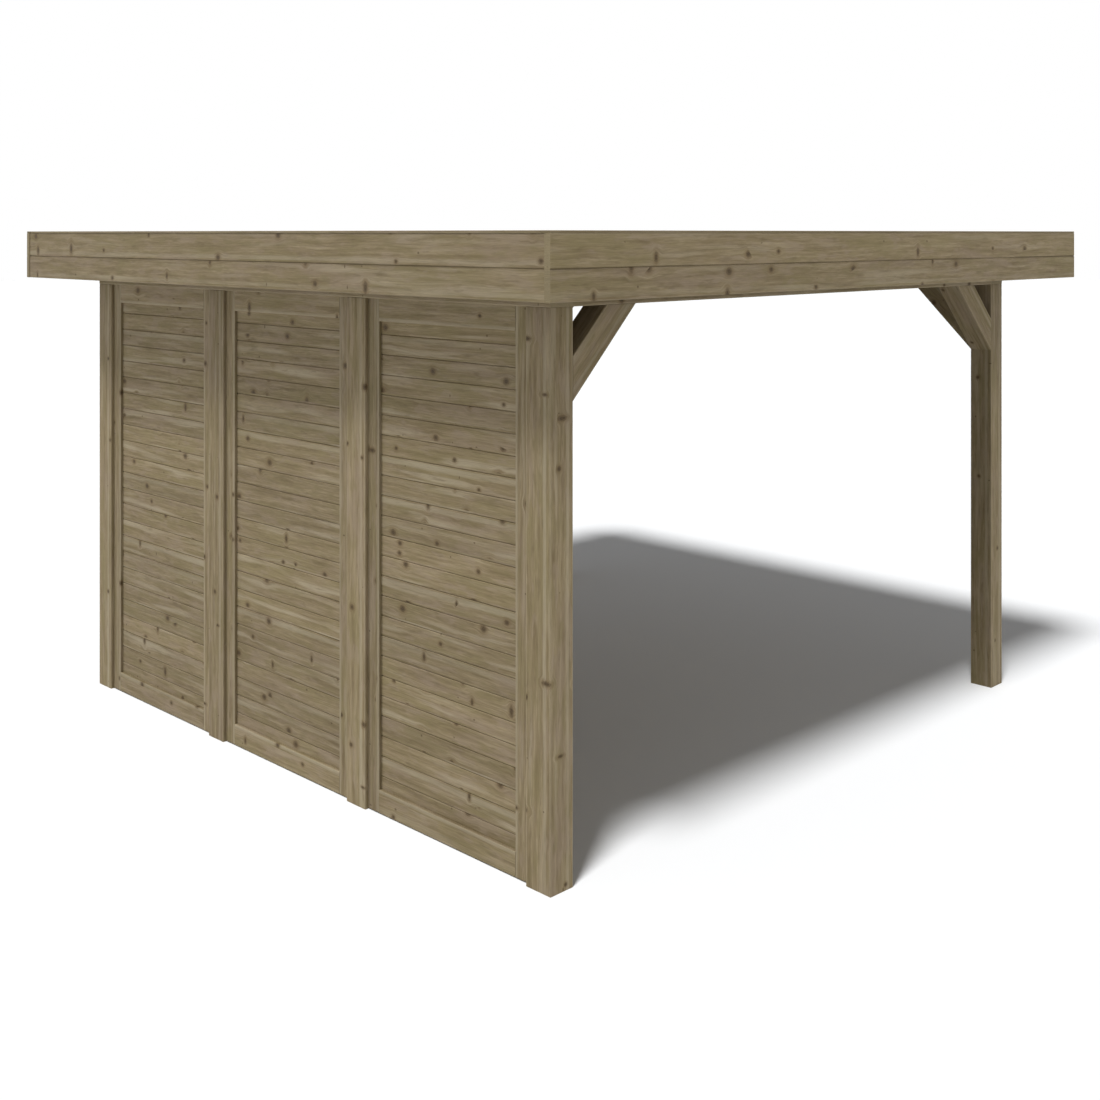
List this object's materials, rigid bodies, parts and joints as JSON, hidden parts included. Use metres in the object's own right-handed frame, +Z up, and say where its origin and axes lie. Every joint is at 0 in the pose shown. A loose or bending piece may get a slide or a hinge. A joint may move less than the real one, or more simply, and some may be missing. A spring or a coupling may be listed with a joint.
{
  "type": "pergola",
  "caption": "Square timber garden pergola with a flat roof and deep fascia, one side closed by boarded panels, three sides open with corner posts and knee braces.",
  "frame": {"origin": "centre of the roof's plan, at ground level under the posts", "axes": "+Z up, +X from the boarded side to the open side opposite, +Y from the front open side to the back open side"},
  "size_m": [3.69, 3.69, 2.251],
  "materials": {
    "beam_timber_x": "pressure-treated softwood, planed, uncoated",
    "beam_timber_y": "pressure-treated softwood, planed, uncoated",
    "brace_timber_x_rising": "pressure-treated softwood, planed, uncoated",
    "brace_timber_x_falling": "pressure-treated softwood, planed, uncoated",
    "brace_timber_y_falling": "pressure-treated softwood, planed, uncoated",
    "brace_timber_y_rising": "pressure-treated softwood, planed, uncoated",
    "fascia_timber_x": "pressure-treated softwood, planed, uncoated",
    "fascia_timber_y": "pressure-treated softwood, planed, uncoated",
    "joist_timber": "pressure-treated softwood, planed, uncoated",
    "lookout_timber": "pressure-treated softwood, planed, uncoated",
    "board_timber": "pressure-treated softwood, planed, uncoated",
    "rail_timber": "pressure-treated softwood, planed, uncoated",
    "stile_timber": "pressure-treated softwood, planed, uncoated",
    "post_timber": "pressure-treated softwood, planed, uncoated",
    "deck_timber": "pressure-treated softwood, planed, uncoated",
    "roof_membrane": "matte sheet roofing",
    "trim_timber_x": "pressure-treated softwood, planed, uncoated",
    "trim_timber_y": "pressure-treated softwood, planed, uncoated"
  },
  "bodies": {
    "root": {"beam_back": "beam_timber_x", "beam_front": "beam_timber_x", "beam_left": "beam_timber_y", "beam_right": "beam_timber_y", "brace_back_left": "brace_timber_x_rising", "brace_back_right": "brace_timber_x_falling", "brace_front_left": "brace_timber_x_rising", "brace_front_right": "brace_timber_x_falling", "brace_right_back": "brace_timber_y_falling", "brace_right_front": "brace_timber_y_rising", "fascia_back_lower": "fascia_timber_x", "fascia_back_upper": "fascia_timber_x", "fascia_front_lower": "fascia_timber_x", "fascia_front_upper": "fascia_timber_x", "fascia_left_lower": "fascia_timber_y", "fascia_left_upper": "fascia_timber_y", "fascia_right_lower": "fascia_timber_y", "fascia_right_upper": "fascia_timber_y", "joist_rim_back": "joist_timber", "joist_rim_front": "joist_timber", "joists": "joist_timber", "lookouts_back": "lookout_timber", "lookouts_front": "lookout_timber", "panel_back_boards": "board_timber", "panel_back_rails": "rail_timber", "panel_back_stiles": "stile_timber", "panel_front_boards": "board_timber", "panel_front_rails": "rail_timber", "panel_front_stiles": "stile_timber", "panel_middle_boards": "board_timber", "panel_middle_rails": "rail_timber", "panel_middle_stiles": "stile_timber", "post_back_left": "post_timber", "post_back_right": "post_timber", "post_front_left": "post_timber", "post_front_right": "post_timber", "post_wall_back": "post_timber", "post_wall_front": "post_timber", "roof_deck": "deck_timber", "roof_membrane": "roof_membrane", "trim_back": "trim_timber_x", "trim_front": "trim_timber_x", "trim_left": "trim_timber_y", "trim_right": "trim_timber_y"}
  },
  "joints": []
}
